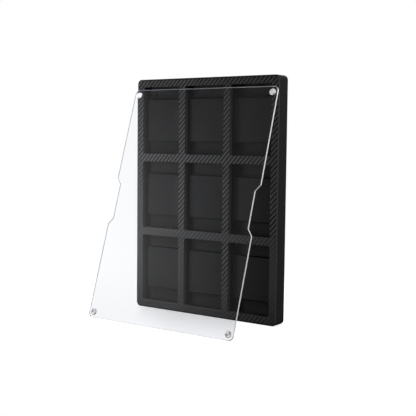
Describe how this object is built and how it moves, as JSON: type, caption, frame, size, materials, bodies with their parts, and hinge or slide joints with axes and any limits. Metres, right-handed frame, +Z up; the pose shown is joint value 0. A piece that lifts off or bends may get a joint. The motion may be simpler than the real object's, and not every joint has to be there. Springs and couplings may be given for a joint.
{
  "type": "trading card display case",
  "caption": "Shallow wall or table case with a lattice of pockets for magnetic card holders, a carbon weave face and a clear magnetic cover sheet that leans on it.",
  "frame": {"origin": "middle of the frame's underside", "axes": "+X to the right as seen from the front, +Y from the face to the back, +Z up"},
  "size_m": [0.292, 0.1538, 0.406],
  "materials": {
    "frame_black": "satin black, fine grain",
    "carbon_weave": "2x2 twill carbon weave under a satin coat",
    "divider_black": "matte black",
    "bed_black": "matte black",
    "panel_black": "matte black board",
    "black_steel": "black oxide",
    "nickel": "bright nickel plate",
    "clear_sheet": "clear acrylic with polished edges"
  },
  "bodies": {
    "case": {"outer_frame": "frame_black", "face_lattice": "frame_black", "carbon_skin": "carbon_weave", "upright_divider_1": "divider_black", "upright_divider_2": "divider_black", "cross_divider_1": "divider_black", "cross_divider_2": "divider_black", "card_bed_row1_col1": "bed_black", "card_bed_row1_col2": "bed_black", "card_bed_row1_col3": "bed_black", "card_bed_row2_col1": "bed_black", "card_bed_row2_col2": "bed_black", "card_bed_row2_col3": "bed_black", "card_bed_row3_col1": "bed_black", "card_bed_row3_col2": "bed_black", "card_bed_row3_col3": "bed_black", "back_panel": "panel_black", "panel_screws": "black_steel", "face_magnet_bottom_left": "nickel", "face_magnet_bottom_right": "nickel", "face_magnet_top_left": "nickel", "face_magnet_top_right": "nickel"},
    "cover": {"cover_sheet": "clear_sheet", "cover_magnet_bottom_left": "nickel", "cover_magnet_bottom_right": "nickel", "cover_magnet_top_left": "nickel", "cover_magnet_top_right": "nickel"}
  },
  "joints": [
    {"name": "cover_close", "type": "hinge", "parent": "case", "child": "cover", "pos_m": [0, -0.07621, 0.39405], "axis": [1, 0, 0], "range_deg": [0, 17.8]}
  ]
}
